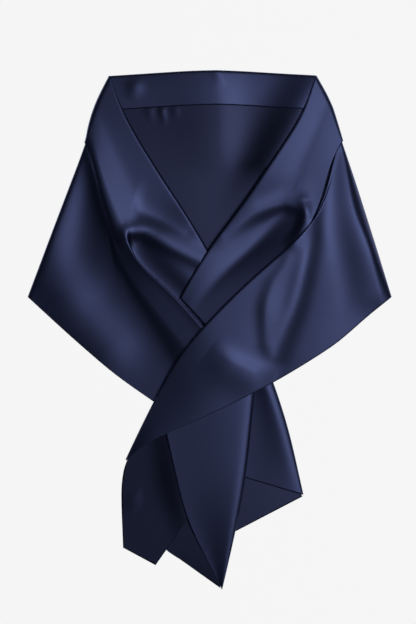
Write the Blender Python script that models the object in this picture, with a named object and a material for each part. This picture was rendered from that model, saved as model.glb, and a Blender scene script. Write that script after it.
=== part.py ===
"""An evening stole of navy satin, laid flat, with its left end drawn through the folded right end.

Metres, +Z up. The stole lies on the plane z = 0 with its neck edge towards +Y. The origin is the middle
of its outline on that plane. One long strip runs from the left tail, round the neck, to the right tail.
It is folded lengthwise at the neck edge, so that a collar turns down over the body, and folded again at
both sides, so that the two fronts lie on the back. Each stretch that shows is a wall of its own: a smooth
sheet through a net of points on its mid-surface, thickened by a Solidify modifier.
"""

import bpy
import numpy as np

# Driving sizes
CLOTH = 0.0012  # wall of the satin
GAP = 0.0003  # between two pieces at a fold or a seam
LAYER = CLOTH + GAP  # from one mid-surface to the next where they touch
REST = CLOTH / 2  # mid-surface height of cloth that lies on the ground
COLLAR_DEPTH = 0.110  # neck fold to the collar's free edge, at the back
BAND_DEPTH = 0.055  # neck fold to the lower edge of the inner neck band
BACK_HEM = 0.053  # y of the back's straight hem
TURN = 0.009  # how far a folded edge turns under
TUCK = 0.012  # how far a front runs on beneath its collar

# Side folds from the neck to the hem corner. Columns: share of the way, x left, x right, y.
SIDES = (
    (0.00, -0.163, 0.171, 0.402),
    (0.12, -0.183, 0.196, 0.362),
    (0.28, -0.200, 0.212, 0.305),
    (1.00, -0.291, 0.290, 0.053),
)
# Neck edge. Columns: share of the way across, x, y.
NECK = (
    (0.00, -0.151, 0.4055),
    (0.50, 0.010, 0.4150),
    (1.00, 0.159, 0.4055),
)

# Left collar, from the side fold inwards. Lines in plan with the height of the mid-surface.
# Columns: share of the way, x, y, z.
LEFT_NECK_FOLD = (
    (0.00, -0.163, 0.402, 0.0140),
    (0.14, -0.138, 0.348, 0.0120),
    (0.32, -0.095, 0.274, 0.0105),
    (0.60, -0.032, 0.176, 0.0095),
    (0.73, -0.003, 0.128, 0.0085),
    (1.00, 0.032, 0.060, 0.0055),
)
LEFT_RIDGE = (
    (0.00, -0.194, 0.317, 0.0140),
    (0.14, -0.176, 0.270, 0.0175),
    (0.32, -0.160, 0.222, 0.0185),
    (0.47, -0.146, 0.181, 0.0185),
    (0.60, -0.131, 0.141, 0.0185),
    (0.73, -0.110, 0.104, 0.0180),
    (0.86, -0.063, 0.063, 0.0170),
    (1.00, -0.006, -0.001, 0.0155),
)
LEFT_FREE_EDGE = (
    (0.00, -0.200, 0.300, 0.0130),
    (0.14, -0.187, 0.262, 0.0145),
    (0.32, -0.176, 0.216, 0.0150),
    (0.60, -0.149, 0.138, 0.0140),
    (0.73, -0.128, 0.100, 0.0130),
    (1.00, -0.032, -0.024, 0.0115),
)
LEFT_HEM = (
    (0.00, -0.291, 0.053, 0.0060),
    (0.10, -0.264, 0.028, 0.0036),
    (0.32, -0.210, -0.021, 0.0012),
    (0.60, -0.146, -0.075, 0.0010),
    (1.00, -0.081, -0.121, 0.0010),
)
# The pleat beside the left ridge. Columns: share of the way, height of its floor, how far it reaches under.
LEFT_PLEAT = (
    (0.00, 0.0140, 0.000),
    (0.32, 0.0170, 0.000),
    (0.52, 0.0170, 0.000),
    (0.57, 0.0120, 0.003),
    (0.64, 0.0065, 0.008),
    (1.00, 0.0055, 0.010),
)

# Right collar. Columns as on the left.
RIGHT_NECK_FOLD = (
    (0.00, 0.171, 0.402, 0.0140),
    (0.14, 0.147, 0.348, 0.0155),
    (0.34, 0.104, 0.280, 0.0160),
    (0.55, 0.050, 0.200, 0.0150),
    (0.76, -0.002, 0.130, 0.0135),
    (0.92, -0.035, 0.077, 0.0125),
    (1.00, -0.048, 0.052, 0.0120),
)
# Its lower side is a free edge as far as the loop, and beyond that it runs in under the right front.
RIGHT_LOWER_SIDE = (
    (0.00, 0.213, 0.300, 0.0130),
    (0.16, 0.197, 0.270, 0.0148),
    (0.34, 0.186, 0.234, 0.0158),
    (0.46, 0.178, 0.204, 0.0170),
    (0.56, 0.166, 0.180, 0.0165),
    (0.64, 0.150, 0.148, 0.0150),
    (0.72, 0.125, 0.116, 0.0140),
    (0.86, 0.060, 0.061, 0.0130),
    (1.00, -0.002, 0.001, 0.0120),
)
# Right front, from the side fold to its end at the crossing.
RIGHT_UPPER_SIDE = (
    (0.00, 0.213, 0.300, 0.0130),
    (0.17, 0.179, 0.206, 0.0170),
    (0.23, 0.165, 0.179, 0.0214),
    (0.30, 0.134, 0.141, 0.0225),
    (0.43, 0.071, 0.087, 0.0225),
    (0.53, 0.026, 0.044, 0.0225),
    (0.62, -0.011, 0.005, 0.0225),
    (0.68, -0.034, -0.021, 0.0205),
    (0.73, -0.054, -0.049, 0.0170),
    (0.85, -0.090, -0.113, 0.0115),
    (1.00, -0.133, -0.202, 0.0070),
)
RIGHT_HEM = (
    (0.00, 0.290, 0.053, 0.0080),
    (0.10, 0.253, 0.023, 0.0030),
    (0.23, 0.203, -0.021, 0.0016),
    (0.33, 0.165, -0.046, 0.0020),
    (0.38, 0.144, -0.059, 0.0040),
    (0.43, 0.122, -0.072, 0.0085),
    (0.49, 0.096, -0.086, 0.0130),
    (0.55, 0.070, -0.099, 0.0150),
    (0.67, 0.019, -0.125, 0.0150),
    (0.87, -0.070, -0.165, 0.0105),
    (1.00, -0.131, -0.206, 0.0070),
)

# Where its upper side changes from tucked beneath the collar to folded over it.
# Columns: share of the way, set-back, turn, drop of the turned part.
LAPS = (
    (0.00, 0.0000, -0.0120, 0.0021),
    (0.08, 0.0000, -0.0120, 0.0021),
    (0.14, 0.0040, 0.0010, 0.0014),
    (0.19, 0.0040, 0.0020, 0.0020),
    (0.25, 0.0020, 0.0020, 0.0026),
    (0.31, 0.0000, 0.0090, 0.0048),
    (0.92, 0.0000, 0.0070, 0.0044),
    (1.00, 0.0000, 0.0020, 0.0030),
)
# How it falls towards its hem.
# Columns: share of the way, share of the height left at 0.28, 0.55 and 0.80 of the way to the hem.
RIGHT_FALL = (
    (0.00, 1.00, 0.90, 0.60),
    (0.06, 1.00, 0.90, 0.50),
    (0.12, 0.84, 0.62, 0.32),
    (0.18, 0.80, 0.56, 0.24),
    (0.23, 0.86, 0.62, 0.25),
    (0.30, 0.90, 0.68, 0.28),
    (0.43, 0.98, 0.79, 0.36),
    (0.60, 0.96, 0.73, 0.33),
    (1.00, 0.84, 0.55, 0.19),
)

# Tails, from beneath the right front to their lower ends. Columns: share of the way, x, y, z.
RIGHT_TAIL_LEFT = (
    (0.00, -0.110, -0.172, 0.0018),
    (0.18, -0.136, -0.214, 0.0018),
    (0.35, -0.142, -0.250, 0.0012),
    (1.00, -0.139, -0.348, 0.0012),
)
RIGHT_TAIL_RIGHT = (
    (0.00, -0.050, -0.130, 0.0034),
    (0.30, -0.024, -0.210, 0.0050),
    (0.60, -0.030, -0.290, 0.0034),
    (0.80, -0.060, -0.337, 0.0024),
    (1.00, -0.087, -0.376, 0.0012),
)
LEFT_TAIL_LEFT = (
    (0.00, -0.075, -0.145, 0.0050),
    (0.30, -0.054, -0.238, 0.0066),
    (0.52, -0.037, -0.302, 0.0056),
    (0.70, -0.012, -0.353, 0.0034),
    (1.00, 0.017, -0.406, 0.0026),
)
LEFT_TAIL_RIGHT = (
    (0.00, 0.073, -0.080, 0.0110),
    (0.30, 0.064, -0.170, 0.0110),
    (0.52, 0.056, -0.240, 0.0110),
    (0.75, 0.041, -0.320, 0.0090),
    (1.00, 0.020, -0.414, 0.0045),
)
UNDER_TAIL_LEFT = (
    (0.00, -0.050, -0.200, 0.0006),
    (0.40, -0.062, -0.290, 0.0006),
    (0.75, -0.075, -0.348, 0.0006),
    (1.00, -0.056, -0.361, 0.0006),
)
UNDER_TAIL_RIGHT = (
    (0.00, 0.050, -0.200, 0.0054),
    (0.40, 0.038, -0.290, 0.0050),
    (0.75, 0.020, -0.366, 0.0020),
    (1.00, 0.008, -0.406, 0.0008),
)
SIDE_TAIL_LEFT = (
    (0.00, 0.038, -0.080, 0.0026),
    (0.50, 0.040, -0.160, 0.0026),
    (1.00, 0.036, -0.230, 0.0026),
)
SIDE_TAIL_RIGHT = (
    (0.00, 0.093, -0.062, 0.0070),
    (0.12, 0.102, -0.085, 0.0070),
    (0.50, 0.127, -0.165, 0.0070),
    (1.00, 0.149, -0.263, 0.0050),
)
BACK_TAIL_RIGHT = (
    (0.00, 0.085, -0.085, 0.0006),
    (0.50, 0.117, -0.165, 0.0006),
    (1.00, 0.141, -0.2695, 0.0006),
)
BACK_TAIL_LEFT = (
    (0.00, 0.040, -0.100, 0.0006),
    (0.50, 0.035, -0.230, 0.0006),
    (1.00, 0.036, -0.3245, 0.0006),
)


def curve(rows, shares):
    """Table columns as smooth functions of the first column, without overshoot."""
    table = np.array(rows)
    known = table[:, 0]
    values = table[:, 1:]
    step = np.diff(known)[:, None]
    slope = np.diff(values, axis=0) / step
    tangent = np.empty_like(values)
    tangent[0] = slope[0]
    tangent[-1] = slope[-1]
    product = slope[:-1] * slope[1:]
    total = slope[:-1] + slope[1:]
    tangent[1:-1] = np.where(product > 0, 2 * product / np.where(total == 0, 1, total), 0)
    shares = np.clip(np.asarray(shares, dtype=float), known[0], known[-1])
    index = np.clip(np.searchsorted(known, shares, side="right") - 1, 0, len(known) - 2)
    width = step[index]
    t = (shares[:, None] - known[index][:, None]) / width
    start = (1 + 2 * t) * (1 - t) ** 2 * values[index] + t * (1 - t) ** 2 * width * tangent[index]
    end = t * t * (3 - 2 * t) * values[index + 1] + t * t * (t - 1) * width * tangent[index + 1]
    return start + end


def spline_weights(controls, samples):
    """Clamped uniform cubic B-spline weights, one row for each sample."""
    degree = 3
    inner = np.linspace(0, 1, controls - degree + 1)
    knots = np.concatenate([np.zeros(degree), inner, np.ones(degree)])
    at = np.linspace(0, 1, samples)
    weights = np.zeros((samples, len(knots) - 1))
    for k in range(len(knots) - 1):
        last = k == controls - 1
        inside = (at >= knots[k]) & ((at < knots[k + 1]) | (last & (at <= knots[k + 1])))
        weights[:, k] = inside & (knots[k + 1] > knots[k])
    for p in range(1, degree + 1):
        higher = np.zeros((samples, len(knots) - 1 - p))
        for k in range(len(knots) - 1 - p):
            left = knots[k + p] - knots[k]
            right = knots[k + p + 1] - knots[k + 1]
            if left > 0:
                higher[:, k] += (at - knots[k]) / left * weights[:, k]
            if right > 0:
                higher[:, k] += (knots[k + p + 1] - at) / right * weights[:, k + 1]
        weights = higher
    return weights


def raised(line, height):
    """The same line in plan at another height, a number or one for each point."""
    out = line.copy()
    out[:, 2] = height
    return out


def across(line, other):
    """Unit vectors in plan from one line towards another."""
    way = other - line
    way[:, 2] = 0
    return way / np.linalg.norm(way, axis=1)[:, None]


def between(line, other, share):
    """A line part of the way from one to the other, heights included."""
    return line + (other - line) * share


def folded_edge(line, inward, under, turn):
    """Lines that turn a folded edge under: from the hidden lip, round the edge, to the top."""
    turn = np.broadcast_to(turn, len(line))[:, None]
    return [
        raised(line + inward * turn, under),
        raised(line + inward * turn * 0.4, under),
        raised(line, under),
        line,
        line + inward * turn * 0.5,
    ]


def side_fold(net, inward, under, turn):
    """Rows before the net's first that carry it round a side fold and under itself."""
    edge = net[0]
    lip = edge.copy()
    lip[:, 0] += inward * turn
    lip[:, 2] = under
    near = edge.copy()
    near[:, 0] += inward * turn * 0.4
    near[:, 2] = under
    low = edge.copy()
    low[:, 2] = under
    return np.concatenate([[lip, near, low], net])


def sheet(name, net, rows, columns, colour, roughness):
    """One wall of cloth through a net of points, as a named object with its own material."""
    along = spline_weights(net.shape[0], rows)
    over = spline_weights(net.shape[1], columns)
    points = np.einsum("ai,ijk,bj->abk", along, net, over)
    mesh = bpy.data.meshes.new(name)
    faces = []
    for a in range(rows - 1):
        for b in range(columns - 1):
            first = a * columns + b
            faces.append((first, first + 1, first + columns + 1, first + columns))
    mesh.from_pydata(points.reshape(-1, 3).tolist(), [], faces)
    mesh.polygons.foreach_set("use_smooth", [True] * len(faces))
    material = bpy.data.materials.new(name)
    material.use_nodes = True
    shader = material.node_tree.nodes["Principled BSDF"]
    shader.inputs["Base Color"].default_value = (*colour, 1)
    shader.inputs["Roughness"].default_value = roughness
    shader.inputs["Metallic"].default_value = 0.0
    mesh.materials.append(material)
    piece = bpy.data.objects.new(name, mesh)
    bpy.context.scene.collection.objects.link(piece)
    wall = piece.modifiers.new("wall", "SOLIDIFY")
    wall.thickness = CLOTH
    wall.offset = 0
    wall.use_even_offset = True
    return piece


SATIN = (0.021, 0.026, 0.072)
SATIN_REVERSE = (0.019, 0.023, 0.060)


def back():
    """Back panel, the collar beneath it, and the inner neck band with the neck fold."""
    shares = np.linspace(0, 1, 7)
    neck = curve(NECK, shares)
    neck = np.column_stack([neck, np.full(len(shares), 0.0052)])
    inset = TURN + 0.0030
    lower = neck - [0, BAND_DEPTH, 0]
    lower[:, 0] *= 0.99
    band = folded_edge(neck, np.tile([0.0, -1.0, 0.0], (len(shares), 1)), REST, TURN)
    band += [between(neck, lower, 0.5), raised(lower, 0.0038)]
    sheet("neck_band", np.stack(band), 13, 13, SATIN, 0.42)

    top = neck - [0, TURN + GAP, 0]
    top[:, 0] *= 0.96
    bottom = raised(neck - [0, COLLAR_DEPTH, 0], REST)
    bottom[:, 0] = np.linspace(-0.200 + inset, 0.212 - inset, len(shares))
    net = [raised(between(top, bottom, share), REST) for share in (0, 0.3, 0.7, 1)]
    sheet("back_collar", np.stack(net), 6, 7, SATIN, 0.42)

    y = np.array([0.402, 0.362, 0.325, 0.300, 0.280, 0.255, 0.160, BACK_HEM])
    height = np.array([1, 1, 1, 1, 0.6, 0, 0, 0]) * LAYER + REST
    sides = np.array(SIDES)
    left = np.interp(-y, -sides[:, 3], sides[:, 1]) + inset
    right = np.interp(-y, -sides[:, 3], sides[:, 2]) - inset
    left[:5] += 0.005
    right[:5] -= 0.005
    net = []
    for i in range(len(y)):
        net.append([(x, y[i], height[i]) for x in np.linspace(left[i], right[i], 7)])
    sheet("back_panel", np.array(net), 11, 7, SATIN_REVERSE, 0.45)


def left_side():
    """Left collar, with the pleat that turns under its ridge, and the left front below it."""
    shares = np.array([0, 0.02, 0.06, 0.13, 0.22, 0.32, 0.42, 0.51, 0.60, 0.68, 0.76, 0.84, 0.92, 1])
    fold = curve(LEFT_NECK_FOLD, shares)
    ridge = curve(LEFT_RIDGE, shares)
    free = curve(LEFT_FREE_EDGE, shares)
    hem = curve(LEFT_HEM, shares)
    floor, reach = curve(LEFT_PLEAT, shares).T
    inward = across(fold, free)
    open_lip = np.clip(shares / 0.13, 0.05, 1)
    under = 0.0024 + 0.0050 * np.clip(1 - shares / 0.30, 0, 1)
    under = fold[:, 2] + (under - fold[:, 2]) * open_lip
    overhang = np.clip(reach / 0.008, 0, 1)[:, None]
    deep = raised(ridge + inward * (reach[:, None] - 0.012 * (1 - overhang)), floor)
    wall = raised(deep + inward * 0.004 * (1 - overhang), floor * 0.5 + ridge[:, 2] * 0.5)
    lip = raised(ridge - inward * 0.004 * (1 - overhang), ridge[:, 2] - 0.004 * overhang[:, 0])
    pocket = raised(between(fold, ridge, 0.70), floor)
    middle = raised(between(fold, ridge, 0.38), fold[:, 2] * 0.5 + floor * 0.5)
    crest = ridge + inward * 0.006
    net = folded_edge(fold, inward, under, TURN * open_lip)
    net += [middle, pocket, deep, wall, lip, ridge, crest, between(crest, free, 0.5), free]
    net = np.stack(net, axis=1)
    net = side_fold(net, 1, REST, TURN)
    sheet("left_collar", net, 25, 27, SATIN, 0.42)

    tuck = free - inward * (TUCK - 0.006 * np.clip((shares - 0.3) / 0.2, 0, 1))[:, None]
    tuck[:, 2] = free[:, 2] - LAYER - 0.0012
    edge = raised(free, free[:, 2] - LAYER - 0.0006)
    out = across(free, hem)
    tuck[0, 0] += 0.0050
    edge[0, 0] += 0.0024
    drop = free[:, 2] - hem[:, 2]
    net = [
        tuck,
        between(tuck, edge, 0.5),
        edge + out * 0.002,
        raised(edge + out * 0.030, hem[:, 2] + drop * 0.55),
        raised(between(edge, hem, 0.45), hem[:, 2] + drop * 0.18),
        raised(between(edge, hem, 0.72), hem[:, 2] + drop * 0.04),
        hem,
    ]
    net = np.stack(net, axis=1)
    net[0, 3:, 2] = 0.0065
    net = side_fold(net, 1, REST, TURN)
    net[:3, :3, 2] += LAYER + 0.0004
    net[:3, 3, 2] += LAYER * 0.5
    sheet("left_front", net, 17, 12, SATIN, 0.42)


def right_side():
    """Right collar, which runs in under the right front, and the right front that laps the left."""
    shares = np.array([0, 0.02, 0.06, 0.13, 0.22, 0.34, 0.46, 0.55, 0.63, 0.72, 0.82, 0.91, 1])
    fold = curve(RIGHT_NECK_FOLD, shares)
    lower = curve(RIGHT_LOWER_SIDE, shares)
    inward = across(fold, lower)
    lower -= inward * 0.0022 * np.clip((0.6 - shares) / 0.1, 0, 1)[:, None]
    open_lip = np.clip(shares / 0.13, 0.05, 1)
    rise = np.clip((shares - 0.2) / 0.4, 0, 1)
    settle = np.clip((shares - 0.8) / 0.2, 0, 1)
    under = 0.0074 + 0.0040 * rise - 0.0018 * settle
    under = fold[:, 2] + (under - fold[:, 2]) * open_lip
    net = folded_edge(fold, inward, under, TURN * open_lip)
    net += [between(fold, lower, share) for share in (0.35, 0.65, 0.88)] + [lower]
    net = np.stack(net, axis=1)
    net = side_fold(net, -1, REST, TURN)
    sheet("right_collar", net, 21, 17, SATIN, 0.42)

    shares = [0, 0.02, 0.06, 0.12, 0.18, 0.24, 0.31, 0.39, 0.47, 0.55, 0.62, 0.68, 0.74, 0.82, 0.91, 1]
    shares = np.array(shares)
    edge = curve(RIGHT_UPPER_SIDE, shares)
    hem = curve(RIGHT_HEM, shares)
    inward = across(edge, hem)
    shift, turn, depth = curve(LAPS, shares).T
    start = edge + inward * shift[:, None]
    start[:, 2] -= np.where(shares < 0.15, depth, 0)
    under_top = edge[:, 2] - depth
    start[0, 0] -= 0.0024
    lip = raised(edge + inward * turn[:, None], under_top)
    lip[0, 0] -= 0.0048
    drop = edge[:, 2] - hem[:, 2]
    net = [
        lip,
        raised(between(lip, start, 0.6), under_top),
        raised(start, under_top),
        start,
        start + inward * 0.004,
    ]
    for share, left in zip((0.28, 0.55, 0.80), curve(RIGHT_FALL, shares).T):
        net.append(raised(between(edge, hem, share), hem[:, 2] + drop * left))
    net.append(hem)
    net = np.stack(net, axis=1)
    net[0, 5:, 2] = 0.0065
    net = side_fold(net, -1, REST, TURN)
    net[:3, :4, 2] += LAYER + 0.0004
    net[:3, 4, 2] += LAYER * 0.5
    sheet("right_front", net, 25, 17, SATIN, 0.42)


def tails():
    """The five stretches of the two ends that hang below the crossing."""
    shares = np.linspace(0, 1, 8)
    left = curve(RIGHT_TAIL_LEFT, shares)
    right = curve(RIGHT_TAIL_RIGHT, shares)
    net = [left, between(left, right, 0.3), between(left, right, 0.7), right]
    sheet("right_tail", np.stack(net, axis=1), 10, 8, SATIN_REVERSE, 0.45)

    left = curve(LEFT_TAIL_LEFT, shares)
    right = curve(LEFT_TAIL_RIGHT, shares)
    inward = across(right, left)
    under = right[:, 2] - np.clip(right[:, 2] - 0.0045, 0.0005, 0.0054)
    turn = np.clip((1 - shares) * 0.03, 0.0005, 0.007)
    net = folded_edge(right, inward, under, turn)
    net += [
        raised(between(right, left, 0.5), left[:, 2] + 0.0015),
        raised(between(right, left, 0.8), left[:, 2]),
        left,
    ]
    sheet("left_tail", np.stack(net, axis=1), 13, 13, SATIN, 0.42)

    left = curve(UNDER_TAIL_LEFT, shares)
    right = curve(UNDER_TAIL_RIGHT, shares)
    net = [left, raised(between(left, right, 0.4), REST), between(left, right, 0.7), right]
    sheet("left_tail_under", np.stack(net, axis=1), 9, 7, SATIN_REVERSE, 0.45)

    left = curve(SIDE_TAIL_LEFT, shares)
    right = curve(SIDE_TAIL_RIGHT, shares)
    inward = across(right, left)
    net = folded_edge(right, inward, REST, 0.007)
    net += [raised(between(right, left, 0.4), 0.0034), between(right, left, 0.7), left]
    sheet("left_tail_side", np.stack(net, axis=1), 9, 13, SATIN, 0.42)

    left = curve(BACK_TAIL_LEFT, shares)
    right = curve(BACK_TAIL_RIGHT, shares)
    net = [left, between(left, right, 0.3), between(left, right, 0.7), right]
    sheet("left_tail_back", np.stack(net, axis=1), 5, 5, SATIN_REVERSE, 0.45)


for old in list(bpy.data.objects):
    bpy.data.objects.remove(old, do_unlink=True)
back()
left_side()
right_side()
tails()
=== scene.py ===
import math

import bpy
import numpy as np
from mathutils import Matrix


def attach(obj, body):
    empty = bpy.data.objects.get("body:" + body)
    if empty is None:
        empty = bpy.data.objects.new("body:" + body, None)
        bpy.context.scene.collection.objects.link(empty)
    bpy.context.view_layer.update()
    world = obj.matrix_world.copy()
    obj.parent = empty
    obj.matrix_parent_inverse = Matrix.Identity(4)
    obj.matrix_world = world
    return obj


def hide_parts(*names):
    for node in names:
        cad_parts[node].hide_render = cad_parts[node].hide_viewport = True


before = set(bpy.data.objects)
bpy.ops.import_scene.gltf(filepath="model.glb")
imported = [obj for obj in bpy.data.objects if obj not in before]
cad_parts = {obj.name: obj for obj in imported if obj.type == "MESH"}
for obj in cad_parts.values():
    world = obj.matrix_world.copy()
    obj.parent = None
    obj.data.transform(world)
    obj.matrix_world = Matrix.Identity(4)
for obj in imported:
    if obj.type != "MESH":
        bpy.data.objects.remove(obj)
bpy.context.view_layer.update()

# what the whole stole shares
cloth = {
    "wall": 0.0008,  # satin, two plies
    "meshStep": 0.0024,  # metres between mesh points
    "layer": 0.0015,  # from one mid-surface to the next
    "rest": 0.0006,  # mid-surface height on the floor
    "clearance": 0.0004,  # extra height where a lip passes over another
}
sideSwell = {  # how the side of a collar bows out below the neck
    "top": 0.406,
    "reach": 0.100,
    "bow": 0.0060,
}
sideTuck = {  # how a side fold's tuck shrinks towards the neck
    "top": 0.405,
    "reach": 0.040,
    "least": 0.15,
}
liftBatch = 20000  # points handled at once


# smooth lines and sheets
def lineThrough(rows, shares):
    # table columns as smooth functions of the first, with no overshoot
    table = np.array(rows, dtype=float)
    known, values = table[:, 0], table[:, 1:]
    step = np.diff(known)[:, None]
    slope = np.diff(values, axis=0) / step
    tangent = np.empty_like(values)
    tangent[0], tangent[-1] = slope[0], slope[-1]
    product = slope[:-1] * slope[1:]
    total = slope[:-1] + slope[1:]
    tangent[1:-1] = np.where(product > 0, 2 * product / np.where(total == 0, 1, total), 0)
    shares = np.clip(np.asarray(shares, dtype=float), known[0], known[-1])
    index = np.clip(np.searchsorted(known, shares, side="right") - 1, 0, len(known) - 2)
    width = step[index]
    t = (shares[:, None] - known[index][:, None]) / width
    start = (1 + 2 * t) * (1 - t) ** 2 * values[index] + t * (1 - t) ** 2 * width * tangent[index]
    end = t * t * (3 - 2 * t) * values[index + 1] + t * t * (t - 1) * width * tangent[index + 1]
    return start + end


def splineWeights(controls, at):
    # clamped uniform cubic B-spline weights, a row for each sample
    inner = np.linspace(0, 1, controls - 2)
    knots = np.concatenate([np.zeros(3), inner, np.ones(3)])
    at = np.clip(at, 0, 1 - 1e-9)[:, None]
    weights = ((at >= knots[:-1]) & (at < knots[1:])).astype(float)
    for p in range(1, 4):
        left = knots[p:-1] - knots[:-p - 1]
        right = knots[p + 1:] - knots[1:-p]
        leftShare = np.where(left > 0, (at - knots[:-p - 1]) / np.where(left > 0, left, 1), 0)
        rightShare = np.where(right > 0, (knots[p + 1:] - at) / np.where(right > 0, right, 1), 0)
        weights = leftShare * weights[:, :-1] + rightShare * weights[:, 1:]
    return weights


def raised(line, height):
    out = line.copy()
    out[:, 2] = height
    return out


def across(line, other):
    way = other - line
    way[:, 2] = 0
    return way / np.linalg.norm(way, axis=1)[:, None]


def between(line, other, share):
    return line + (other - line) * share


def foldedEdge(line, inward, under, turn):
    # from the hidden lip, round the fold, to the top
    turn = np.broadcast_to(turn, len(line))[:, None]
    return [
        raised(line + inward * turn, under),
        raised(line + inward * turn * 0.4, under),
        raised(line, under),
        line,
        line + inward * turn * 0.5,
    ]


def sideFold(net, inward, under, turn):
    # rows that carry the net round a side fold and under itself
    edge = net[0]
    lip, near, low = edge.copy(), edge.copy(), edge.copy()
    shrink = np.clip((sideTuck["top"] - edge[:, 1]) / sideTuck["reach"], sideTuck["least"], 1)
    lip[:, 0] += inward * turn * shrink
    near[:, 0] += inward * turn * 0.4 * shrink
    for row in (lip, near, low):
        row[:, 2] = under
    return np.concatenate([[lip, near, low], net])


def shoulderSwell(edge):
    # the side of a collar bows out between the neck and its free edge
    share = np.clip((sideSwell["top"] - edge[:, 1]) / sideSwell["reach"], 0, 1)
    return sideSwell["bow"] * 4 * share * (1 - share)


def evenSamples(net, axis):
    # samples an even distance apart along one axis of the net's surface
    fine = np.linspace(0, 1, 400)
    weights = splineWeights(net.shape[axis], fine)
    lines = np.tensordot(weights, np.moveaxis(net, axis, 0), axes=1)
    lengths = np.linalg.norm(np.diff(lines, axis=0), axis=2)
    middle = np.percentile(lengths, 70, axis=1)
    travelled = np.concatenate([[0], np.cumsum(middle)])
    count = int(math.ceil(travelled[-1] / cloth["meshStep"])) + 1
    return np.interp(np.linspace(0, travelled[-1], count), travelled, fine)


def creaseLift(points, creases):
    # height that the given creases add at each point; a negative height is a trough
    lift = np.zeros(len(points))
    for crease in creases:
        rows = lineThrough(crease, np.linspace(crease[0][0], crease[-1][0], 80))
        x, y = rows[:, 0], rows[:, 1]
        way = np.stack([np.gradient(x), np.gradient(y)], axis=1)
        way /= np.linalg.norm(way, axis=1)[:, None]
        travelled = np.concatenate([[0], np.cumsum(np.hypot(np.diff(x), np.diff(y)))])
        for first in range(0, len(points), liftBatch):
            part = points[first:first + liftBatch]
            dx = part[:, 0:1] - x
            dy = part[:, 1:2] - y
            near = np.argmin(dx * dx + dy * dy, axis=1)
            pick = (np.arange(len(part)), near)
            side = way[near, 0] * dy[pick] - way[near, 1] * dx[pick]
            reached = travelled[near] + way[near, 0] * dx[pick] + way[near, 1] * dy[pick]
            at = np.clip(reached, 0, travelled[-1])
            height, leftWidth, rightWidth = [np.interp(at, travelled, rows[:, n]) for n in (2, 3, 4)]
            width = np.where(side > 0, leftWidth, rightWidth)
            past = (reached - at) / (leftWidth + rightWidth) * 2
            lift[first:first + liftBatch] += height * np.exp(-(side / width) ** 2 - past ** 2)
    return lift


def makeSheet(piece, net):
    # a dense smooth sheet through the net, with its creases, as a wall of cloth
    alongAt = evenSamples(net, 0)
    acrossAt = evenSamples(net, 1)
    alongWeights = splineWeights(net.shape[0], alongAt)
    acrossWeights = splineWeights(net.shape[1], acrossAt)
    points = np.einsum("ai,ijk,bj->abk", alongWeights, net, acrossWeights)
    rows, columns = points.shape[:2]
    flat = points.reshape(-1, 3).copy()
    if piece.get("creases"):
        # what lies on the floor stays there
        clear = np.clip((flat[:, 2] - cloth["rest"]) / cloth["clearance"], 0, 1)
        flat[:, 2] += creaseLift(flat, piece["creases"]) * clear
    mesh = bpy.data.meshes.new(piece["name"])
    first = (np.arange(rows - 1)[:, None] * columns + np.arange(columns - 1)).ravel()
    faces = np.stack([first, first + 1, first + columns + 1, first + columns], axis=1)
    if piece.get("flip"):
        faces = faces[:, ::-1]
    mesh.from_pydata(flat.tolist(), [], faces.tolist())
    mesh.polygons.foreach_set("use_smooth", np.ones(len(faces), dtype=bool))
    if piece.get("crispEdges"):
        mesh.update(calc_edges=True)
        uses = np.zeros(len(mesh.edges), dtype=int)
        loopEdges = np.empty(len(mesh.loops), dtype=int)
        mesh.loops.foreach_get("edge_index", loopEdges)
        np.add.at(uses, loopEdges, 1)
        mesh.edges.foreach_set("use_edge_sharp", uses == 1)
    made = bpy.data.objects.new(piece["name"], mesh)
    bpy.context.scene.collection.objects.link(made)
    wall = made.modifiers.new("wall", "SOLIDIFY")
    wall.thickness = cloth["wall"]
    wall.offset = 0
    made.data.materials.append(piece["finish"])
    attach(made, "root")
    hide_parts(piece["node"])
    area = np.sum([p.area for p in mesh.polygons])
    print(piece["name"], rows, "x", columns, "points,", round(area, 4), "square metres")


# satin
class Wire:
    # a shader socket that can be used in sums
    def __init__(self, tree, socket=None):
        self.tree = tree
        self.socket = socket

    def node(self, kind, settings, values, output=0):
        made = self.tree.nodes.new(kind)
        for key, value in settings.items():
            setattr(made, key, value)
        for key, value in values.items():
            if isinstance(value, Wire):
                self.tree.links.new(value.socket, made.inputs[key])
            else:
                made.inputs[key].default_value = value
        return Wire(self.tree, made.outputs[output])

    def sum(self, operation, first, second):
        return self.node("ShaderNodeMath", {"operation": operation}, {0: first, 1: second})

    def __add__(self, other):
        return self.sum("ADD", self, other)

    def __radd__(self, other):
        return self.sum("ADD", other, self)

    def __sub__(self, other):
        return self.sum("SUBTRACT", self, other)

    def __rsub__(self, other):
        return self.sum("SUBTRACT", other, self)

    def __mul__(self, other):
        return self.sum("MULTIPLY", self, other)

    def __rmul__(self, other):
        return self.sum("MULTIPLY", other, self)


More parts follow.
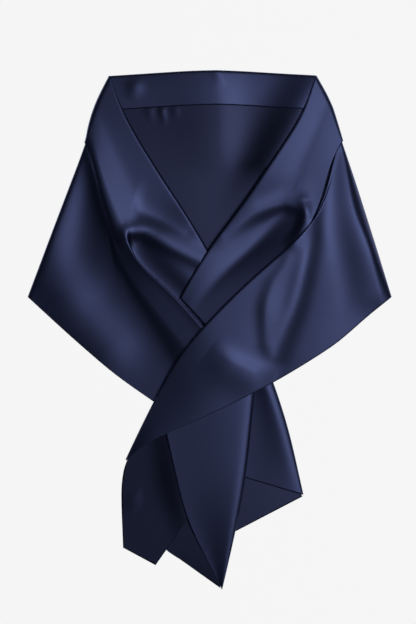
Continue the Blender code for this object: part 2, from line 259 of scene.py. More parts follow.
def satinFinish(look):
    material = bpy.data.materials.new(look["name"])
    material.use_nodes = True
    tree = material.node_tree
    shader = tree.nodes["Principled BSDF"]
    shader.inputs["Metallic"].default_value = look["metallic"]
    shader.inputs["IOR"].default_value = look["ior"]
    shader.inputs["Specular IOR Level"].default_value = look["specular"]
    start = Wire(tree)
    place = start.node("ShaderNodeTexCoord", {}, {}, "Object")
    turned = start.node("ShaderNodeMapping", {}, {"Vector": place, "Rotation": (0, 0, look["warpAngle"])})
    long, wide = look["threadLength"]
    warpScale = (look["warpsPerMetre"], long, long)
    weftScale = (wide, look["weftsPerMetre"], long)
    warp = start.node("ShaderNodeMapping", {}, {"Vector": turned, "Scale": warpScale})
    weft = start.node("ShaderNodeMapping", {}, {"Vector": turned, "Scale": weftScale})
    warpThread = start.node("ShaderNodeTexNoise", {}, {"Vector": warp, "Scale": 1, "Detail": 1}, "Fac")
    weftThread = start.node("ShaderNodeTexNoise", {}, {"Vector": weft, "Scale": 1, "Detail": 1}, "Fac")
    clouds = {"Vector": place, "Scale": look["cloudsPerMetre"], "Detail": 3}
    cloud = start.node("ShaderNodeTexNoise", {}, clouds, "Fac")
    thread = warpThread * look["warpShare"] + weftThread * (1 - look["warpShare"])
    cloudy = (cloud - 0.5) * look["cloudRoughness"]
    roughness = look["roughness"] + cloudy + (thread - 0.5) * look["threadRoughness"]
    shade = thread * 0.5 + cloud * 0.5
    darker = (*[c * (1 - look["shadeRange"]) for c in look["colour"]], 1)
    lighter = (*[c * (1 + look["shadeRange"]) for c in look["colour"]], 1)
    colour = start.node("ShaderNodeMix", {"data_type": "RGBA"}, {0: shade, 6: darker, 7: lighter}, 2)
    ridges = {"Strength": look["threadStrength"], "Distance": look["threadDepth"], "Height": thread}
    bump = start.node("ShaderNodeBump", {}, ridges)
    tree.links.new(colour.socket, shader.inputs["Base Color"])
    tree.links.new(roughness.socket, shader.inputs["Roughness"])
    tree.links.new(bump.socket, shader.inputs["Normal"])
    return material


faceLook = {
    "name": "navySatinFace",
    "colour": (0.062, 0.078, 0.185),
    "metallic": 0.93,
    "roughness": 0.40,
    "specular": 0.4,
    "ior": 1.45,
    "warpAngle": 0.0,
    "warpsPerMetre": 3600,
    "weftsPerMetre": 1500,
    "threadLength": (60, 90),  # runs per metre along the warp and the weft
    "warpShare": 0.65,
    "threadDepth": 0.00004,
    "threadStrength": 0.25,
    "cloudsPerMetre": 9,
    "cloudRoughness": 0.05,
    "threadRoughness": 0.08,
    "shadeRange": 0.14,  # how far the colour strays either way
}
reverseLook = dict(
    faceLook,
    name="navySatinReverse",
    colour=(0.046, 0.056, 0.130),
    roughness=0.42,
    metallic=0.9,
)
faceSatin = satinFinish(faceLook)
reverseSatin = satinFinish(reverseLook)
print("satin ready")


# back of the neck
backHump = [  # share, x, y, height, width on the path's left, width on its right
    (0.0, 0.000, 0.430, 0.0040, 0.040, 0.080),
    (0.5, 0.012, 0.330, 0.0036, 0.034, 0.070),
    (1.0, 0.012, 0.230, 0.0000, 0.030, 0.050),
]
backRise = [  # beside the right collar
    (0.0, 0.185, 0.420, 0.0045, 0.050, 0.040),
    (0.25, 0.148, 0.352, 0.0085, 0.050, 0.038),
    (0.5, 0.112, 0.285, 0.0100, 0.050, 0.034),
    (1.0, 0.020, 0.140, 0.0070, 0.040, 0.022),
]
neckBand = {
    "name": "neckBand",
    "node": "neck_band",
    "flat": (0.326, 0.064),
    "held": "folded",
    "restsOn": ["back_collar"],
    "slot": "satin",
    "finish": faceSatin,
    "foldHeight": 0.0052,
    "lowerHeight": 0.0038,
    "depth": 0.055,
    "lowerTaper": 0.99,
    "foldTurn": 0.009,
    "neckEdge": [  # share across, x, y
        (0.00, -0.1605, 0.4060),
        (0.50, 0.010, 0.4150),
        (1.00, 0.1685, 0.4060),
    ],
    "creases": [
        backHump,
        backRise,
        [  # soft dents in the band
            (0.0, -0.118, 0.404, 0.0000, 0.010, 0.010),
            (0.5, -0.120, 0.388, 0.0012, 0.012, 0.012),
            (1.0, -0.128, 0.366, 0.0000, 0.010, 0.010),
        ],
        [
            (0.0, 0.012, 0.414, 0.0010, 0.007, 0.010),
            (1.0, 0.022, 0.388, 0.0000, 0.007, 0.010),
        ],
    ],
}
backPanel = {
    "name": "backPanel",
    "node": "back_panel",
    "flat": (0.557, 0.349),
    "area": 0.151,
    "held": "laid",
    "restsOn": ["back_collar"],
    "slot": "satin_reverse",
    "finish": reverseSatin,
    "inset": 0.012,
    "lapInset": 0.005,  # more where the back lies on the collar
    "sides": [  # y, x left, x right, layers beneath
        (0.402, -0.163, 0.171, 1.0),
        (0.362, -0.183, 0.196, 1.0),
        (0.325, -0.194, 0.205, 1.0),
        (0.300, -0.202, 0.214, 1.0),
        (0.280, -0.209, 0.218, 0.6),
        (0.255, -0.218, 0.226, 0.0),
        (0.160, -0.252, 0.256, 0.0),
        (0.053, -0.291, 0.290, 0.0),
    ],
    "creases": [
        backHump,
        backRise,
        [  # puckers beneath the neck band
            (0.0, -0.096, 0.350, 0.0006, 0.007, 0.008),
            (1.0, -0.092, 0.330, 0.0000, 0.006, 0.007),
        ],
        [
            (0.0, -0.076, 0.350, 0.0009, 0.005, 0.006),
            (1.0, -0.071, 0.325, 0.0000, 0.005, 0.006),
        ],
        [
            (0.0, -0.055, 0.351, 0.0005, 0.006, 0.007),
            (1.0, -0.052, 0.335, 0.0000, 0.006, 0.007),
        ],
    ],
}
backCollar = {
    "name": "backCollar",
    "node": "back_collar",
    "flat": (0.388, 0.101),
    "area": 0.035,
    "held": "laid",
    "restsOn": ["floor"],
    "slot": "satin",
    "finish": faceSatin,
    "depth": 0.110,
    "topTaper": 0.96,
    "topGap": 0.0003,
    "freeEdgeX": (-0.188, 0.200),
}


def makeBack():
    shares = np.linspace(0, 1, 7)
    neck = lineThrough(neckBand["neckEdge"], shares)
    neck = np.column_stack([neck, np.full(len(shares), neckBand["foldHeight"])])
    down = np.tile([0.0, -1.0, 0.0], (len(shares), 1))
    lower = neck + down * neckBand["depth"]
    lower[:, 0] *= neckBand["lowerTaper"]
    rows = foldedEdge(neck, down, cloth["rest"], neckBand["foldTurn"])
    rows += [between(neck, lower, 0.5), raised(lower, neckBand["lowerHeight"])]
    makeSheet(neckBand, np.stack(rows))

    top = neck + down * (neckBand["foldTurn"] + backCollar["topGap"])
    top[:, 0] *= backCollar["topTaper"]
    bottom = neck + down * backCollar["depth"]
    bottom[:, 0] = np.linspace(*backCollar["freeEdgeX"], len(shares))
    rows = [raised(between(top, bottom, share), cloth["rest"]) for share in (0, 0.3, 0.7, 1)]
    makeSheet(backCollar, np.stack(rows))

    rows = []
    for y, left, right, layers in backPanel["sides"]:
        inset = backPanel["inset"] + (backPanel["lapInset"] if layers else 0)
        height = cloth["rest"] + layers * cloth["layer"]
        rows.append([(x, y, height) for x in np.linspace(left + inset, right - inset, 7)])
    makeSheet(backPanel, np.array(rows))


# left side, as seen from above with the neck at the top
leftCollar = {
    "name": "leftCollar",
    "node": "left_collar",
    "flat": (0.125, 0.420),
    "area": 0.051,
    "held": "folded",
    "restsOn": ["left_front", "back_panel"],
    "crispEdges": True,
    "slot": "satin",
    "finish": faceSatin,
    "foldTurn": 0.009,
    "linesAt": [0, 0.02, 0.06, 0.13, 0.22, 0.32, 0.41, 0.48, 0.53, 0.58, 0.63, 0.70, 0.78, 0.86, 0.93, 1],
    "profileAt": [0.30, 0.48, 0.60, 0.70, 0.76, 0.81, 0.86, 0.91, 0.96],  # shares across
    "lipHeight": (0.0024, 0.0050),  # at the crossing, and what the neck end adds
    "neckFold": [  # share, x, y, z
        (0.00, -0.161, 0.406, 0.0110),
        (0.14, -0.138, 0.348, 0.0110),
        (0.32, -0.095, 0.274, 0.0105),
        (0.60, -0.032, 0.176, 0.0095),
        (0.73, -0.003, 0.128, 0.0080),
        (1.00, 0.032, 0.060, 0.0055),
    ],
    "ridge": [
        (0.00, -0.194, 0.317, 0.0140),
        (0.14, -0.176, 0.270, 0.0175),
        (0.32, -0.160, 0.222, 0.0185),
        (0.47, -0.146, 0.181, 0.0185),
        (0.60, -0.131, 0.141, 0.0180),
        (0.73, -0.110, 0.104, 0.0175),
        (0.86, -0.063, 0.063, 0.0165),
        (1.00, -0.006, -0.001, 0.0155),
    ],
    "freeEdge": [
        (0.00, -0.200, 0.300, 0.0125),
        (0.14, -0.187, 0.262, 0.0140),
        (0.32, -0.176, 0.216, 0.0145),
        (0.60, -0.149, 0.138, 0.0135),
        (0.73, -0.128, 0.100, 0.0125),
        (1.00, -0.032, -0.024, 0.0115),
    ],
    "roll": [  # share across, height from the neck fold to the top of the roll
        (0.0, 0.00),
        (0.4, 0.05),
        (0.7, 0.60),
        (0.88, 1.00),
        (1.0, 0.85),
    ],
    "pleat": [  # share, height of its floor, reach beneath the ridge
        (0.00, 0.0140, 0.000),
        (0.14, 0.0170, 0.000),
        (0.32, 0.0190, 0.000),
        (0.52, 0.0190, 0.000),
        (0.57, 0.0120, 0.003),
        (0.62, 0.0060, 0.007),
        (0.70, 0.0042, 0.008),
        (0.80, 0.0040, 0.009),
        (1.00, 0.0040, 0.010),
    ],
    "creases": [
        [  # crest above the pleat's pocket
            (0.0, -0.134, 0.142, 0.0010, 0.010, 0.010),
            (0.15, -0.127, 0.156, 0.0030, 0.012, 0.010),
            (0.35, -0.110, 0.157, 0.0040, 0.016, 0.011),
            (0.6, -0.086, 0.146, 0.0042, 0.020, 0.012),
            (0.8, -0.057, 0.130, 0.0038, 0.020, 0.012),
            (1.0, -0.015, 0.110, 0.0030, 0.018, 0.012),
        ],
        [  # hollow above the crest
            (0.0, -0.125, 0.196, 0.0000, 0.020, 0.014),
            (0.3, -0.107, 0.192, -0.0015, 0.030, 0.014),
            (0.6, -0.077, 0.180, -0.0022, 0.030, 0.014),
            (1.0, -0.040, 0.157, -0.0010, 0.020, 0.010),
        ],
    ],
}
leftFront = {
    "name": "leftFront",
    "node": "left_front",
    "flat": (0.274, 0.370),
    "area": 0.05,
    "held": "folded",
    "restsOn": ["back_panel", "floor"],
    "crispEdges": True,
    "slot": "satin",
    "finish": faceSatin,
    "tuck": 0.012,
    "foldTurn": 0.009,
    "sideHeight": 0.0055,
    "fall": (0.46, 0.16, 0.04),  # share of the height left across the front
    "hem": [
        (0.00, -0.291, 0.053, 0.0060),
        (0.10, -0.264, 0.028, 0.0036),
        (0.32, -0.210, -0.021, 0.0016),
        (0.60, -0.146, -0.075, 0.0016),
        (1.00, -0.081, -0.121, 0.0016),
    ],
    "creases": [
        [  # crest inside the side fold
            (0.0, -0.207, 0.285, 0.0010, 0.020, 0.008),
            (0.3, -0.226, 0.215, 0.0030, 0.022, 0.012),
            (0.7, -0.248, 0.140, 0.0040, 0.030, 0.020),
            (1.0, -0.258, 0.085, 0.0020, 0.036, 0.022),
        ],
        [  # soft swell low on the front
            (0.0, -0.240, 0.120, 0.0000, 0.040, 0.050),
            (0.5, -0.222, 0.040, 0.0070, 0.050, 0.050),
            (1.0, -0.170, -0.030, 0.0060, 0.050, 0.050),
        ],
    ],
}


def makeLeft():
    shares = np.array(leftCollar["linesAt"])
    fold = lineThrough(leftCollar["neckFold"], shares)
    ridge = lineThrough(leftCollar["ridge"], shares)
    free = lineThrough(leftCollar["freeEdge"], shares)
    hem = lineThrough(leftFront["hem"], shares)
    floor, reach = lineThrough(leftCollar["pleat"], shares).T
    inward = across(fold, free)
    openLip = np.clip(shares / 0.13, 0.05, 1)
    lowLip, neckLip = leftCollar["lipHeight"]
    under = lowLip + neckLip * np.clip(1 - shares / 0.30, 0, 1)
    under = fold[:, 2] + (under - fold[:, 2]) * openLip
    overhang = np.clip(reach / 0.008, 0, 1)[:, None]
    deep = raised(ridge + inward * (reach[:, None] - 0.012 * (1 - overhang)), floor)
    wall = raised(deep + inward * 0.004 * (1 - overhang), floor * 0.5 + ridge[:, 2] * 0.5)
    lip = raised(ridge - inward * 0.004 * (1 - overhang), ridge[:, 2] - 0.004 * overhang[:, 0])
    hollow = np.clip((shares - 0.52) / 0.10, 0, 1)
    pocket = raised(between(fold, ridge, 0.84), floor)
    slope = raised(between(fold, ridge, 0.62), fold[:, 2] + 0.0015 * hollow)
    middle = raised(between(fold, ridge, 0.36), fold[:, 2] + 0.001 * hollow)
    crest = raised(ridge + inward * 0.005, ridge[:, 2] - 0.0020)
    pleated = [middle, slope, pocket, deep, wall, lip, ridge, crest, between(crest, free, 0.5)]
    lines = foldedEdge(fold, inward, under, leftCollar["foldTurn"] * openLip)
    for share, line in zip(leftCollar["profileAt"], pleated):
        rise = lineThrough(leftCollar["roll"], [share])[0, 0]
        plain = raised(between(fold, free, share), fold[:, 2] + (ridge[:, 2] - fold[:, 2]) * rise)
        lines.append(between(plain, line, overhang))
    lines.append(free)
    net = np.stack(lines, axis=1)
    net[0, :, 0] -= shoulderSwell(net[0])
    net = sideFold(net, 1, cloth["rest"], leftCollar["foldTurn"])
    makeSheet(leftCollar, net)

    # the free edge melts into the roll below the loop
    flush = np.clip((shares - 0.45) / 0.20, 0, 1)[:, None]
    tuckDepth = leftFront["tuck"] - 0.006 * np.clip((shares - 0.3) / 0.2, 0, 1)
    tuck = free - inward * tuckDepth[:, None]
    tuck[:, 2] = free[:, 2] - 0.0030
    edge = raised(free, free[:, 2] - 0.0010)
    out = across(free, hem)
    tuck[0, 0] += 0.0050
    edge[0, 0] += 0.0024
    onward = free - lines[-2]
    onward /= np.linalg.norm(onward, axis=1)[:, None]
    fall = np.clip(-onward[:, 2], 0.03, 0.16)
    drop = free[:, 2] - hem[:, 2]
    lines = [
        between(tuck, free, flush),
        between(between(tuck, edge, 0.6), free + onward * 0.002, flush),
        between(edge + out * 0.0015, free + onward * 0.004, flush),
        between(raised(edge + out * 0.012, edge[:, 2] - fall * 0.012), free + onward * 0.012, flush),
        raised(edge + out * 0.034, hem[:, 2] + drop * leftFront["fall"][0]),
        raised(between(edge, hem, 0.42), hem[:, 2] + drop * leftFront["fall"][1]),
        raised(between(edge, hem, 0.72), hem[:, 2] + drop * leftFront["fall"][2]),
        hem,
    ]
    net = np.stack(lines, axis=1)
    net[0, 4:, 2] = leftFront["sideHeight"]
    net = sideFold(net, 1, cloth["rest"], leftFront["foldTurn"])
    net[:3, :3, 2] += cloth["layer"] + cloth["clearance"]
    net[:3, 3, 2] += cloth["layer"] * 0.5
    makeSheet(leftFront, net)


# right side
rightCollar = {
    "name": "rightCollar",
    "node": "right_collar",
    "flat": (0.120, 0.460),
    "area": 0.043,
    "held": "folded",
    "restsOn": ["left_collar", "back_panel"],
    "slot": "satin",
    "finish": faceSatin,
    "foldTurn": 0.009,
    "flip": True,
    "linesAt": [0, 0.02, 0.06, 0.13, 0.22, 0.34, 0.46, 0.55, 0.63, 0.72, 0.82, 0.91, 1],
    "lipHeight": (0.0096, 0.0010, 0.0018),  # at the neck, rise midway, fall at the crossing
    "lapSetback": 0.0022,
    "neckFold": [
        (0.00, 0.1695, 0.406, 0.0140),
        (0.14, 0.147, 0.348, 0.0155),
        (0.34, 0.104, 0.280, 0.0160),
        (0.55, 0.050, 0.200, 0.0138),
        (0.76, -0.002, 0.130, 0.0120),
        (0.92, -0.035, 0.077, 0.0114),
        (1.00, -0.048, 0.052, 0.0112),
    ],
    "lowerSide": [
        (0.00, 0.213, 0.300, 0.0130),
        (0.16, 0.197, 0.270, 0.0150),
        (0.34, 0.186, 0.234, 0.0160),
        (0.46, 0.178, 0.204, 0.0168),
        (0.56, 0.166, 0.180, 0.0175),
        (0.64, 0.150, 0.148, 0.0178),
        (0.72, 0.125, 0.116, 0.0178),
        (0.86, 0.060, 0.061, 0.0172),
        (1.00, -0.002, 0.001, 0.0150),
    ],
    "pocket": [  # share, depth of the hollow, how far across it lies
        (0.00, 0.0010, 0.45),
        (0.30, 0.0010, 0.50),
        (0.46, 0.0025, 0.58),
        (0.56, 0.0075, 0.62),
        (0.66, 0.0090, 0.58),
        (0.78, 0.0060, 0.52),
        (0.88, 0.0020, 0.46),
        (1.00, 0.0000, 0.50),
    ],
    "creases": [
        [  # crest above the pocket
            (0.0, 0.152, 0.174, 0.0010, 0.012, 0.020),
            (0.15, 0.146, 0.190, 0.0035, 0.012, 0.026),
            (0.35, 0.120, 0.202, 0.0060, 0.014, 0.036),
            (0.65, 0.078, 0.193, 0.0060, 0.018, 0.036),
            (1.0, 0.022, 0.154, 0.0025, 0.016, 0.026),
        ],
        [  # rim at the pocket's closed end
            (0.0, 0.149, 0.205, 0.0012, 0.010, 0.010),
            (0.3, 0.151, 0.182, 0.0036, 0.012, 0.007),
            (0.7, 0.144, 0.160, 0.0036, 0.014, 0.007),
            (1.0, 0.134, 0.141, 0.0020, 0.016, 0.010),
        ],
    ],
}
rightFront = {
    "name": "rightFront",
    "node": "right_front",
    "flat": (0.270, 0.550),
    "area": 0.076,
    "held": "folded",
    "restsOn": ["right_collar", "left_front", "back_panel"],
    "slot": "satin",
    "finish": faceSatin,
    "foldTurn": 0.009,
    "sideHeight": 0.0055,
    "flip": True,
    "linesAt": [0, 0.02, 0.06, 0.12, 0.18, 0.24, 0.31, 0.39, 0.47, 0.55, 0.62, 0.68, 0.74, 0.82, 0.91, 1],
    "upperSide": [
        (0.00, 0.213, 0.300, 0.0130),
        (0.17, 0.179, 0.206, 0.0165),
        (0.23, 0.165, 0.179, 0.0195),
        (0.30, 0.134, 0.141, 0.0225),
        (0.43, 0.071, 0.087, 0.0225),
        (0.53, 0.026, 0.044, 0.0225),
        (0.62, -0.011, 0.005, 0.0225),
        (0.68, -0.034, -0.021, 0.0200),
        (0.73, -0.054, -0.049, 0.0165),
        (0.84, -0.090, -0.113, 0.0090),
        (0.95, -0.127, -0.190, 0.0062),
        (1.00, -0.1345, -0.2060, 0.0050),
    ],
    "fall": [  # share, height left at three places on the way to the hem
        (0.00, 1.00, 0.90, 0.60),
        (0.06, 1.00, 0.90, 0.50),
        (0.12, 0.84, 0.62, 0.32),
        (0.18, 0.80, 0.56, 0.24),
        (0.23, 0.86, 0.62, 0.25),
        (0.30, 0.90, 0.68, 0.28),
        (0.43, 0.98, 0.79, 0.36),
        (0.60, 0.96, 0.73, 0.33),
        (1.00, 0.84, 0.55, 0.19),
    ],
    "hem": [
        (0.00, 0.290, 0.053, 0.0080),
        (0.10, 0.253, 0.023, 0.0030),
        (0.23, 0.203, -0.021, 0.0016),
        (0.33, 0.165, -0.046, 0.0020),
        (0.38, 0.144, -0.059, 0.0040),
        (0.43, 0.122, -0.072, 0.0085),
        (0.49, 0.096, -0.086, 0.0130),
        (0.55, 0.070, -0.099, 0.0150),
        (0.66, 0.019, -0.125, 0.0150),
        (0.83, -0.070, -0.165, 0.0120),
        (0.94, -0.124, -0.193, 0.0085),
        (0.97, -0.1310, -0.2005, 0.0062),
        (1.00, -0.1335, -0.2078, 0.0050),
    ],
    "laps": [  # share, set-back, turn, drop of the turned part
        (0.00, 0.0000, -0.0120, 0.0021),
        (0.08, 0.0000, -0.0120, 0.0021),
        (0.14, 0.0040, 0.0010, 0.0014),
        (0.19, 0.0040, 0.0020, 0.0020),
        (0.25, 0.0020, 0.0020, 0.0026),
        (0.31, 0.0000, 0.0090, 0.0036),
        (0.92, 0.0000, 0.0070, 0.0036),
        (1.00, 0.0000, 0.0020, 0.0030),
    ],
    "creases": [
        [  # rim at the pocket's closed end
            (0.0, 0.149, 0.205, 0.0010, 0.012, 0.012),
            (0.3, 0.151, 0.182, 0.0030, 0.012, 0.009),
            (0.7, 0.144, 0.160, 0.0030, 0.014, 0.009),
            (1.0, 0.134, 0.141, 0.0020, 0.016, 0.010),
        ],
        [  # fold that runs down from the rim
            (0.0, 0.134, 0.141, 0.0015, 0.016, 0.014),
            (0.2, 0.121, 0.102, 0.0016, 0.026, 0.013),
            (0.45, 0.100, 0.069, 0.0018, 0.030, 0.013),
            (0.75, 0.090, 0.027, 0.0024, 0.026, 0.013),
            (1.0, 0.090, -0.020, 0.0015, 0.014, 0.012),
        ],
        [  # long fold beside it
            (0.0, 0.184, 0.262, 0.0005, 0.012, 0.010),
            (0.2, 0.167, 0.190, 0.0014, 0.012, 0.018),
            (0.45, 0.157, 0.133, 0.0032, 0.016, 0.016),
            (0.7, 0.137, 0.050, 0.0036, 0.018, 0.018),
            (1.0, 0.104, -0.036, 0.0030, 0.020, 0.018),
        ],
        [  # crest inside the side fold
            (0.0, 0.212, 0.285, 0.0005, 0.010, 0.024),
            (0.3, 0.223, 0.202, 0.0040, 0.014, 0.038),
            (0.7, 0.252, 0.126, 0.0060, 0.017, 0.050),
            (1.0, 0.266, 0.066, 0.0045, 0.017, 0.046),
        ],
        [  # arm across the lower end of the folds
            (0.0, 0.000, -0.028, 0.0000, 0.018, 0.030),
            (0.4, 0.036, -0.054, 0.0035, 0.018, 0.034),
            (0.8, 0.070, -0.070, 0.0040, 0.018, 0.034),
            (1.0, 0.100, -0.080, 0.0020, 0.018, 0.030),
        ],
    ],
}


def makeRight():
    shares = np.array(rightCollar["linesAt"])
    fold = lineThrough(rightCollar["neckFold"], shares)
    lower = lineThrough(rightCollar["lowerSide"], shares)
    inward = across(fold, lower)
    lower -= inward * rightCollar["lapSetback"] * np.clip((0.6 - shares) / 0.1, 0, 1)[:, None]
    openLip = np.clip(shares / 0.13, 0.05, 1)
    neckLip, rise, lipFall = rightCollar["lipHeight"]
    under = neckLip + rise * np.clip((shares - 0.2) / 0.4, 0, 1)
    under -= lipFall * np.clip((shares - 0.8) / 0.2, 0, 1)
    under = fold[:, 2] + (under - fold[:, 2]) * openLip
    lines = foldedEdge(fold, inward, under, rightCollar["foldTurn"] * openLip)
    depth, place = lineThrough(rightCollar["pocket"], shares).T
    for share, sunk in ((0.5, 0.5), (0.8, 1.0), (1.0, 1.0), (1.25, 0.55)):
        line = fold + (lower - fold) * (place * share)[:, None]
        line[:, 2] -= depth * sunk
        lines.append(line)
    lines.append(lower)
    net = np.stack(lines, axis=1)
    net[0, :, 0] += shoulderSwell(net[0])
    net = sideFold(net, -1, cloth["rest"], rightCollar["foldTurn"])
    makeSheet(rightCollar, net)

    shares = np.array(rightFront["linesAt"])
    edge = lineThrough(rightFront["upperSide"], shares)
    hem = lineThrough(rightFront["hem"], shares)
    inward = across(edge, hem)
    shift, turn, depth = lineThrough(rightFront["laps"], shares).T
    start = edge + inward * shift[:, None]
    start[:, 2] -= np.where(shares < 0.15, depth, 0)
    under = edge[:, 2] - depth
    start[0, 0] -= 0.0024
    lip = raised(edge + inward * turn[:, None], under)
    lip[0, 0] -= 0.0048
    drop = edge[:, 2] - hem[:, 2]
    lines = [
        lip,
        raised(between(lip, start, 0.6), under),
        raised(start, under),
        start,
        start + inward * 0.004,
    ]
    for share, left in zip((0.28, 0.55, 0.80), lineThrough(rightFront["fall"], shares).T):
        lines.append(raised(between(edge, hem, share), hem[:, 2] + drop * left))
    lines.append(hem)
    net = np.stack(lines, axis=1)
    net[0, 5:, 2] = rightFront["sideHeight"]
    net = sideFold(net, -1, cloth["rest"], rightFront["foldTurn"])
    net[:3, :4, 2] += cloth["layer"] + cloth["clearance"]
    net[:3, 4, 2] += cloth["layer"] * 0.5
    makeSheet(rightFront, net)


# tails
rightTail = {
    "name": "rightTail",
    "node": "right_tail",
    "flat": (0.120, 0.235),
    "area": 0.0206,
    "held": "laid",
    "restsOn": ["left_tail_under", "floor"],
    "slot": "satin_reverse",
    "finish": reverseSatin,
    "left": [
        (0.00, -0.110, -0.172, 0.0018),
        (0.18, -0.1372, -0.2120, 0.0018),
        (0.35, -0.142, -0.250, 0.0012),
        (1.00, -0.139, -0.348, 0.0012),
    ],
    "right": [
        (0.00, -0.050, -0.130, 0.0034),
        (0.30, -0.024, -0.210, 0.0050),
        (0.60, -0.030, -0.290, 0.0034),
        (0.80, -0.060, -0.337, 0.0024),
        (1.00, -0.087, -0.376, 0.0012),
    ],
    "creases": [
        [  # rise beside the middle tail
            (0.0, -0.064, -0.150, 0.0036, 0.020, 0.024),
            (0.5, -0.052, -0.230, 0.0050, 0.020, 0.024),
            (1.0, -0.032, -0.320, 0.0020, 0.020, 0.020),
        ],
        [
            (0.0, -0.134, -0.262, 0.0000, 0.010, 0.008),
            (0.5, -0.122, -0.272, 0.0006, 0.020, 0.018),
            (1.0, -0.108, -0.276, 0.0000, 0.010, 0.008),
        ],
    ],
}
leftTail = {
    "name": "leftTail",
    "node": "left_tail",
    "flat": (0.155, 0.345),
    "area": 0.0293,
    "held": "folded",
    "restsOn": ["right_tail", "left_tail_under", "left_tail_side"],
    "slot": "satin",
    "finish": faceSatin,
    "left": [
        (0.00, -0.075, -0.145, 0.0095),
        (0.30, -0.054, -0.238, 0.0098),
        (0.52, -0.037, -0.302, 0.0080),
        (0.70, -0.012, -0.353, 0.0048),
        (1.00, 0.017, -0.408, 0.0030),
    ],
    "right": [
        (0.00, 0.073, -0.080, 0.0085),
        (0.30, 0.064, -0.170, 0.0085),
        (0.52, 0.056, -0.240, 0.0085),
        (0.75, 0.041, -0.320, 0.0070),
        (1.00, 0.019, -0.415, 0.0040),
    ],
    "swell": 0.0035,
    "flip": True,
}
leftTailUnder = {
    "name": "leftTailUnder",
    "node": "left_tail_under",
    "flat": (0.115, 0.220),
    "area": 0.018,
    "held": "laid",
    "restsOn": ["floor"],
    "slot": "satin_reverse",
    "finish": reverseSatin,
    "left": [
        (0.00, -0.050, -0.200, 0.0006),
        (0.40, -0.062, -0.290, 0.0006),
        (0.75, -0.075, -0.348, 0.0006),
        (1.00, -0.056, -0.361, 0.0006),
    ],
    "right": [
        (0.00, 0.050, -0.200, 0.0054),
        (0.40, 0.038, -0.290, 0.0056),
        (0.75, 0.022, -0.366, 0.0040),
        (1.00, 0.0165, -0.4125, 0.0012),
    ],
}
leftTailSide = {
    "name": "leftTailSide",
    "node": "left_tail_side",
    "flat": (0.120, 0.205),
    "area": 0.0165,
    "held": "folded",
    "restsOn": ["left_tail_back"],
    "slot": "satin",
    "finish": faceSatin,
    "left": [
        (0.00, 0.038, -0.080, 0.0026),
        (0.50, 0.040, -0.160, 0.0026),
        (1.00, 0.036, -0.230, 0.0026),
    ],
    "right": [
        (0.00, 0.093, -0.062, 0.0050),
        (0.12, 0.102, -0.085, 0.0050),
        (0.50, 0.127, -0.165, 0.0050),
        (1.00, 0.149, -0.263, 0.0036),
    ],
    "swell": 0.0040,
    "flip": True,
}
leftTailBack = {
    "name": "leftTailBack",
    "node": "left_tail_back",
    "flat": (0.115, 0.245),
    "area": 0.0178,
    "held": "laid",
    "restsOn": ["floor"],
    "slot": "satin_reverse",
    "finish": reverseSatin,
    "right": [
        (0.00, 0.085, -0.085, 0.0006),
        (0.50, 0.117, -0.165, 0.0006),
        (1.00, 0.1475, -0.2665, 0.0006),
    ],
    "left": [
        (0.00, 0.040, -0.100, 0.0006),
        (0.50, 0.035, -0.230, 0.0006),
        (1.00, 0.036, -0.3245, 0.0006),
    ],
}


def tailEdges(piece, shares):
    return lineThrough(piece["left"], shares), lineThrough(piece["right"], shares)


def plainTail(piece, shares):
    left, right = tailEdges(piece, shares)
    lines = [left, between(left, right, 0.3), between(left, right, 0.7), right]
    makeSheet(piece, np.stack(lines, axis=1))


def makeTails():
    shares = np.linspace(0, 1, 8)
    plainTail(rightTail, shares)

    left, right = tailEdges(leftTail, shares)
    inward = across(right, left)
    under = right[:, 2] - np.clip(right[:, 2] - 0.0045, 0.0005, 0.0054)
    lines = foldedEdge(right, inward, under, np.clip((1 - shares) * 0.03, 0.0005, 0.007))
    swell = leftTail["swell"] * np.clip((1 - shares) * 2.5, 0, 1)
    lines[4] = raised(lines[4], right[:, 2] + swell * 0.4)
    reach = np.clip((1 - shares) * 0.06, 0.001, 0.015)[:, None]
    lines += [
        raised(right + inward * reach, right[:, 2] + swell),
        raised(between(right, left, 0.6), left[:, 2] * 0.6 + right[:, 2] * 0.4 + swell * 0.4),
        raised(between(right, left, 0.85), left[:, 2]),
        left,
    ]
    makeSheet(leftTail, np.stack(lines, axis=1))

    left, right = tailEdges(leftTailUnder, shares)
    lines = [left, raised(between(left, right, 0.2), cloth["rest"]), between(left, right, 0.6), right]
    makeSheet(leftTailUnder, np.stack(lines, axis=1))

    left, right = tailEdges(leftTailSide, shares)
    inward = across(right, left)
    turn = np.clip((1 - shares) * 0.02, 0.0006, 0.007)
    lines = foldedEdge(right, inward, cloth["rest"] + 0.0016 * shares, turn)
    swell = leftTailSide["swell"] * (1 - 0.4 * shares)
    lines[4] = raised(lines[4], right[:, 2] + swell * 0.4)
    lines += [
        raised(right + inward * 0.014, right[:, 2] + swell),
        raised(between(right, left, 0.45), 0.0046),
        between(right, left, 0.75),
        left,
    ]
    makeSheet(leftTailSide, np.stack(lines, axis=1))

    plainTail(leftTailBack, shares)


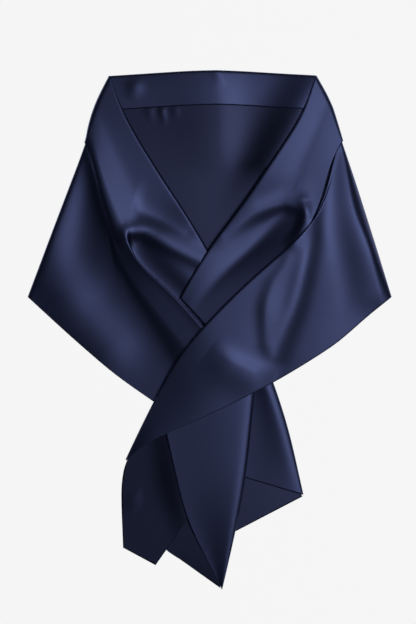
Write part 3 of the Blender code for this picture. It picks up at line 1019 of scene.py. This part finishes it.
# studio
studio = {
    "cameraAt": (-0.0032, 0.0288, 2.357),
    "lens": 85,
    "sensor": 36,
    "floorColour": (0.16, 0.16, 0.16),
    "floorGlow": 0.885,
    "floorReach": 30,
    "floorHeight": -0.0002,
    "floorRoughness": 0.9,
    "worldColour": (0.95, 0.97, 1.0),
    "worldStrength": 0.02,
    "lamps": [  # name, place, aimed at, size, watts
        ("keyLamp", (0.98, 0.50, 3.19), (0.0, 0.0, 0.0), 0.8, 14),
        ("lowLamp", (0.98, -0.80, 3.10), (0.0, -0.2, 0.0), 0.8, 6),
        ("topLamp", (0.10, 0.45, 3.20), (0.0, 0.0, 0.0), 1.2, 0.6),
    ],
}


def makeStudio():
    scene = bpy.context.scene
    camera = bpy.data.objects.new("camera", bpy.data.cameras.new("camera"))
    scene.collection.objects.link(camera)
    camera.location = studio["cameraAt"]
    camera.data.lens = studio["lens"]
    camera.data.sensor_width = studio["sensor"]
    scene.camera = camera
    for name, place, aim, size, watts in studio["lamps"]:
        lamp = bpy.data.objects.new(name, bpy.data.lights.new(name, "AREA"))
        lamp.data.size = size
        lamp.data.energy = watts
        lamp.location = place
        way = np.subtract(aim, place)
        tilt = math.atan2(math.hypot(way[0], way[1]), -way[2])
        lamp.rotation_euler = (tilt, 0, math.atan2(-way[0], way[1]))
        scene.collection.objects.link(lamp)
    mesh = bpy.data.meshes.new("floor")
    far = studio["floorReach"]
    corners = [(-far, -far), (far, -far), (far, far), (-far, far)]
    mesh.from_pydata([(x, y, studio["floorHeight"]) for x, y in corners], [], [(0, 1, 2, 3)])
    floor = bpy.data.objects.new("floor", mesh)
    scene.collection.objects.link(floor)
    paper = bpy.data.materials.new("studioPaper")
    paper.use_nodes = True
    shader = paper.node_tree.nodes["Principled BSDF"]
    shader.inputs["Base Color"].default_value = (*studio["floorColour"], 1)
    shader.inputs["Roughness"].default_value = studio["floorRoughness"]
    shader.inputs["Emission Color"].default_value = (1, 1, 1, 1)
    shader.inputs["Emission Strength"].default_value = studio["floorGlow"]
    mesh.materials.append(paper)
    world = bpy.data.worlds.new("studioAir")
    world.use_nodes = True
    air = world.node_tree.nodes["Background"]
    air.inputs["Color"].default_value = (*studio["worldColour"], 1)
    air.inputs["Strength"].default_value = studio["worldStrength"]
    scene.world = world
    scene.view_settings.view_transform = "Standard"


makeBack()
print("back ready")
makeLeft()
print("left side ready")
makeRight()
print("right side ready")
makeTails()
print("tails ready")
makeStudio()
print("studio ready")
